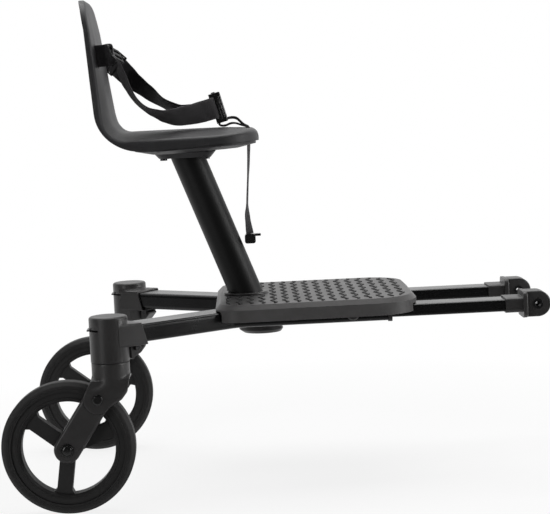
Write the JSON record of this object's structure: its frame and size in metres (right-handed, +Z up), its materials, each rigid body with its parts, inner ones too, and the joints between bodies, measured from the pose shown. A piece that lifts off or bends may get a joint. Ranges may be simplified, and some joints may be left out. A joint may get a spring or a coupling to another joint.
{
  "type": "buggy board with seat",
  "caption": "Ride-on board with a belted seat that hooks onto the back of a stroller: deck on bent tubes, telescopic arms, swivelling sprung castors.",
  "frame": {"origin": "on the ground, in the middle of the object's box", "axes": "+X forward to the stroller, along the arms; +Y to the rider's left; +Z up"},
  "size_m": [0.6797, 0.402, 0.615],
  "materials": {
    "shell_plastic": "moulded, fine grain, charcoal black",
    "deck_plastic": "moulded, dark grey top",
    "tread_rubber": "raised zigzag anti-slip ridges, black",
    "tube_black": "satin black powder coat",
    "castor_plastic": "moulded, charcoal black",
    "cap_gloss": "glossy black domed caps",
    "steel": "bright steel",
    "tyre": "soft black tyre",
    "rim_plastic": "moulded, black",
    "buffer_rubber": "black rubber",
    "glide_plastic": "low-friction black plastic",
    "webbing": "woven black webbing",
    "buckle_plastic": "black, semi-gloss"
  },
  "bodies": {
    "board": {"deck_shell": "deck_plastic", "deck_tread": "tread_rubber", "frame_tube_left": "tube_black", "frame_tube_right": "tube_black", "cross_plate_rear": "steel", "cross_plate_front": "steel", "post_socket": "castor_plastic", "castor_housing_left": "castor_plastic", "castor_housing_right": "castor_plastic", "swivel_bushes": "glide_plastic", "stem_clips": "steel", "sleeve_guides": "glide_plastic", "deck_screws": "steel", "lever_pins": "steel"},
    "castor_left": {"castor_yoke_left": "castor_plastic", "pivot_pins_left": "cap_gloss", "suspension_buffers_left": "buffer_rubber"},
    "swing_left": {"swing_leg_outer_left": "castor_plastic", "swing_leg_inner_left": "castor_plastic", "axle_left": "steel", "axle_caps_left": "cap_gloss"},
    "wheel_left": {"tyre_left": "tyre", "rim_left": "rim_plastic", "wheel_bearings_left": "steel"},
    "lever_left": {"release_lever_left": "castor_plastic"},
    "arm_left": {"front_arm_left": "tube_black", "arm_glide_left": "glide_plastic", "coupling_left": "castor_plastic", "coupling_bush_left": "cap_gloss"},
    "lock_left": {"arm_lock_button_left": "cap_gloss"},
    "castor_right": {"castor_yoke_right": "castor_plastic", "pivot_pins_right": "cap_gloss", "suspension_buffers_right": "buffer_rubber"},
    "swing_right": {"swing_leg_outer_right": "castor_plastic", "swing_leg_inner_right": "castor_plastic", "axle_right": "steel", "axle_caps_right": "cap_gloss"},
    "wheel_right": {"tyre_right": "tyre", "rim_right": "rim_plastic", "wheel_bearings_right": "steel"},
    "lever_right": {"release_lever_right": "castor_plastic"},
    "arm_right": {"front_arm_right": "tube_black", "arm_glide_right": "glide_plastic", "coupling_right": "castor_plastic", "coupling_bush_right": "cap_gloss"},
    "lock_right": {"arm_lock_button_right": "cap_gloss"},
    "seat": {"seat_post": "tube_black", "seat_bracket": "shell_plastic", "seat_base": "shell_plastic", "seat_shell": "shell_plastic", "seat_screws": "steel", "lap_strap_left": "webbing", "lap_strap_right": "webbing", "strap_adjusters": "buckle_plastic", "belt_buckle": "buckle_plastic", "crotch_strap": "webbing", "tail_strap": "webbing", "strap_clip": "buckle_plastic"},
    "prong_upper": {"buckle_prong_upper": "buckle_plastic"},
    "prong_lower": {"buckle_prong_lower": "buckle_plastic"}
  },
  "joints": [
    {"name": "swivel_left", "type": "hinge", "parent": "board", "child": "castor_left", "pos_m": [-0.20485, 0.175, 0.2], "axis": [0, 0, 1], "continuous": true},
    {"name": "swing_left", "type": "hinge", "parent": "castor_left", "child": "swing_left", "pos_m": [-0.22045, 0.175, 0.1388], "axis": [0, 1, 0], "range_deg": [0, 8], "stiffness_Nm_per_rad": 6, "springref_deg": -20.05},
    {"name": "wheel_spin_left", "type": "hinge", "parent": "swing_left", "child": "wheel_left", "pos_m": [-0.25985, 0.175, 0.08], "axis": [0, 1, 0], "continuous": true},
    {"name": "lever_left", "type": "hinge", "parent": "board", "child": "lever_left", "pos_m": [-0.17814, 0.15631, 0.1941], "axis": [-0.5735, -0.8192, 0], "range_deg": [0, 18], "stiffness_Nm_per_rad": 0.1, "springref_deg": -17.19},
    {"name": "arm_slide_left", "type": "slide", "parent": "board", "child": "arm_left", "axis": [1, 0, 0], "range_m": [-0.045, 0.025]},
    {"name": "lock_press_left", "type": "slide", "parent": "board", "child": "lock_left", "axis": [0, -1, 0], "range_m": [0, 0.003], "stiffness_N_per_m": 400, "springref_m": -0.004},
    {"name": "swivel_right", "type": "hinge", "parent": "board", "child": "castor_right", "pos_m": [-0.20485, -0.175, 0.2], "axis": [0, 0, 1], "continuous": true},
    {"name": "swing_right", "type": "hinge", "parent": "castor_right", "child": "swing_right", "pos_m": [-0.22045, -0.175, 0.1388], "axis": [0, 1, 0], "range_deg": [0, 8], "stiffness_Nm_per_rad": 6, "springref_deg": -20.05},
    {"name": "wheel_spin_right", "type": "hinge", "parent": "swing_right", "child": "wheel_right", "pos_m": [-0.25985, -0.175, 0.08], "axis": [0, 1, 0], "continuous": true},
    {"name": "lever_right", "type": "hinge", "parent": "board", "child": "lever_right", "pos_m": [-0.17814, -0.15631, 0.1941], "axis": [0.5735, -0.8192, 0], "range_deg": [0, 18], "stiffness_Nm_per_rad": 0.1, "springref_deg": -17.19},
    {"name": "arm_slide_right", "type": "slide", "parent": "board", "child": "arm_right", "axis": [1, 0, 0], "range_m": [-0.045, 0.025]},
    {"name": "lock_press_right", "type": "slide", "parent": "board", "child": "lock_right", "axis": [0, 1, 0], "range_m": [0, 0.003], "stiffness_N_per_m": 400, "springref_m": -0.004},
    {"name": "seat_lift", "type": "slide", "parent": "board", "child": "seat", "axis": [-0.3469, 0, 0.9379], "range_m": [0, 0.06]},
    {"name": "prong_upper", "type": "slide", "parent": "seat", "child": "prong_upper", "axis": [0.2588, 0, -0.9659], "range_m": [0, 0.002], "stiffness_N_per_m": 400, "springref_m": -0.003},
    {"name": "prong_lower", "type": "slide", "parent": "seat", "child": "prong_lower", "axis": [-0.2588, 0, 0.9659], "range_m": [0, 0.002], "stiffness_N_per_m": 400, "springref_m": -0.003}
  ]
}
